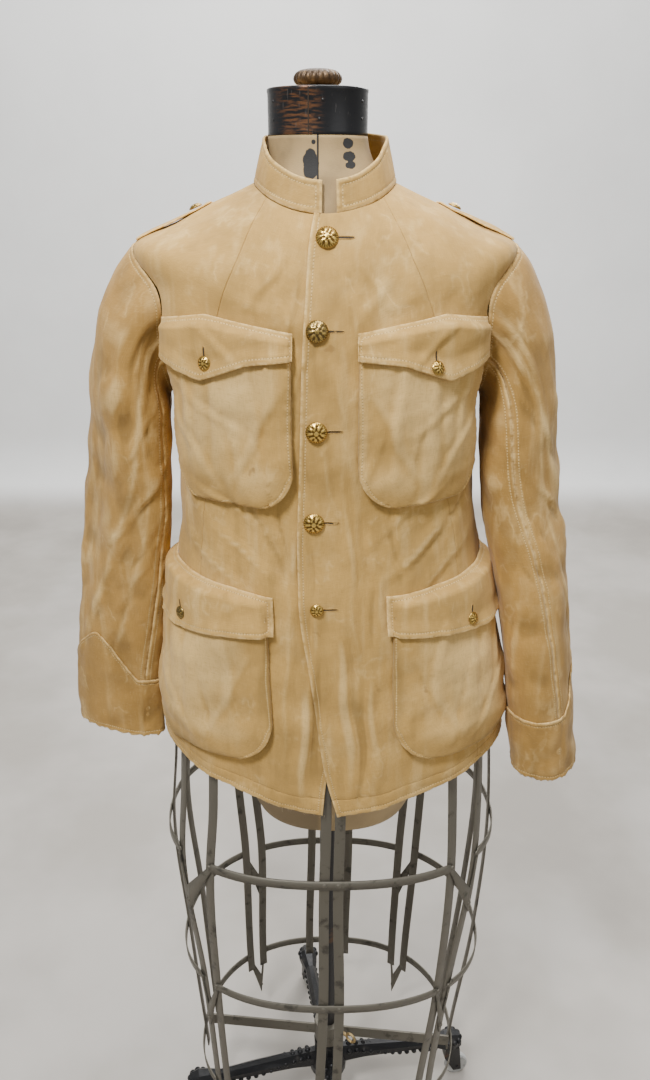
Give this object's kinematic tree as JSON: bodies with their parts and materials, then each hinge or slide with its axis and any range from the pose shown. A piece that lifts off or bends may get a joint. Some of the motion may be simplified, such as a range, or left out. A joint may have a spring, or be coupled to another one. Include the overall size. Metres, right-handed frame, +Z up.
{
  "type": "military uniform coat with standing collar on a limbless dress form and caged stand",
  "caption": "Old khaki cotton uniform coat with standing collar, flapped patch pockets and brass buttons, shown on a limbless dress form over a strap-iron cage skirt and castered stand",
  "frame": {"origin": "centre of the part's footprint on the floor", "axes": "+Z up, +Y towards the coat's back, +X to the wearer's left"},
  "size_m": [0.6864, 0.487, 1.5558],
  "materials": {
    "body_cloth": "faded khaki cotton drill, worn pale along seams and edges",
    "sleeve_cloth": "browner faded khaki cotton with frayed cuff edges",
    "button_brass": "stamped gilt brass, rubbed, with dark recesses",
    "form_canvas": "old tan canvas stretched over the form, flaked dark patches",
    "black_enamel": "black japanned metal with worn brown streaks",
    "knob_bronze": "ribbed cast knob, brown bronzed paint",
    "strap_iron": "flat strap iron with grey-beige paint, dull and chipped",
    "base_iron": "black cast iron with soft ornament",
    "wheel_compound": "pale hard caster wheel"
  },
  "bodies": {
    "base": {"stand_base": "base_iron", "stand_post": "black_enamel"},
    "figure": {"front_left": "body_cloth", "front_right": "body_cloth", "side_front_left": "body_cloth", "side_front_right": "body_cloth", "back_left": "body_cloth", "back_right": "body_cloth", "collar": "body_cloth", "chest_pocket_left": "body_cloth", "chest_flap_left": "body_cloth", "chest_pocket_right": "body_cloth", "chest_flap_right": "body_cloth", "hip_pocket_left": "body_cloth", "hip_flap_left": "body_cloth", "hip_pocket_right": "body_cloth", "hip_flap_right": "body_cloth", "shoulder_strap_left": "body_cloth", "shoulder_strap_right": "body_cloth", "sleeve_upper_left": "sleeve_cloth", "sleeve_under_left": "sleeve_cloth", "cuff_left": "sleeve_cloth", "sleeve_upper_right": "sleeve_cloth", "sleeve_under_right": "sleeve_cloth", "cuff_right": "sleeve_cloth", "button_front_1": "button_brass", "button_front_2": "button_brass", "button_front_3": "button_brass", "button_front_4": "button_brass", "button_front_5": "button_brass", "button_chest_left": "button_brass", "button_chest_right": "button_brass", "button_hip_left": "button_brass", "button_hip_right": "button_brass", "button_strap_left": "button_brass", "button_strap_right": "button_brass", "form_body": "form_canvas", "neck_band": "black_enamel", "cage_straps_front": "strap_iron", "cage_straps_front_left": "strap_iron", "cage_straps_front_right": "strap_iron", "cage_straps_side_left": "strap_iron", "cage_straps_side_right": "strap_iron", "cage_straps_back_left": "strap_iron", "cage_straps_back_right": "strap_iron", "cage_straps_back": "strap_iron", "cage_ring_high": "strap_iron", "cage_ring_middle": "strap_iron", "cage_ring_low": "strap_iron", "cross_bar": "strap_iron"},
    "eye_screw": {"eye_screw": "button_brass"},
    "neck_knob": {"neck_knob": "knob_bronze"},
    "caster_1": {"caster_fork_1": "black_enamel"},
    "wheel_1": {"caster_wheel_1": "wheel_compound"},
    "caster_2": {"caster_fork_2": "black_enamel"},
    "wheel_2": {"caster_wheel_2": "wheel_compound"},
    "caster_3": {"caster_fork_3": "black_enamel"},
    "wheel_3": {"caster_wheel_3": "wheel_compound"},
    "caster_4": {"caster_fork_4": "black_enamel"},
    "wheel_4": {"caster_wheel_4": "wheel_compound"}
  },
  "joints": [
    {"name": "height_slide", "type": "slide", "parent": "base", "child": "figure", "axis": [0, 0, 1], "range_m": [0, 0.15]},
    {"name": "clamp_screw_turn", "type": "hinge", "parent": "figure", "child": "eye_screw", "pos_m": [0.04013, -0.01763, 0.164], "axis": [0.809, -0.5878, 0], "range_deg": [0, 360]},
    {"name": "neck_knob_turn", "type": "hinge", "parent": "figure", "child": "neck_knob", "pos_m": [0.00336, -0.01, 1.548], "axis": [0, 0, 1], "range_deg": [0, 360]},
    {"name": "caster_swivel_1", "type": "hinge", "parent": "base", "child": "caster_1", "pos_m": [0.22759, 0.03733, 0.0657], "axis": [0, 0, 1], "continuous": true},
    {"name": "wheel_roll_1", "type": "hinge", "parent": "caster_1", "child": "wheel_1", "pos_m": [0.23941, 0.03942, 0.02], "axis": [-0.1736, 0.9848, 0], "continuous": true},
    {"name": "caster_swivel_2", "type": "hinge", "parent": "base", "child": "caster_2", "pos_m": [-0.02147, 0.21173, 0.0657], "axis": [0, 0, 1], "continuous": true},
    {"name": "wheel_roll_2", "type": "hinge", "parent": "caster_2", "child": "wheel_2", "pos_m": [-0.02356, 0.22355, 0.02], "axis": [-0.9848, -0.1736, 0], "continuous": true},
    {"name": "caster_swivel_3", "type": "hinge", "parent": "base", "child": "caster_3", "pos_m": [-0.19587, -0.03733, 0.0657], "axis": [0, 0, 1], "continuous": true},
    {"name": "wheel_roll_3", "type": "hinge", "parent": "caster_3", "child": "wheel_3", "pos_m": [-0.20769, -0.03942, 0.02], "axis": [0.1736, -0.9848, 0], "continuous": true},
    {"name": "caster_swivel_4", "type": "hinge", "parent": "base", "child": "caster_4", "pos_m": [0.05319, -0.21173, 0.0657], "axis": [0, 0, 1], "continuous": true},
    {"name": "wheel_roll_4", "type": "hinge", "parent": "caster_4", "child": "wheel_4", "pos_m": [0.05528, -0.22355, 0.02], "axis": [0.9848, 0.1736, 0], "continuous": true}
  ]
}
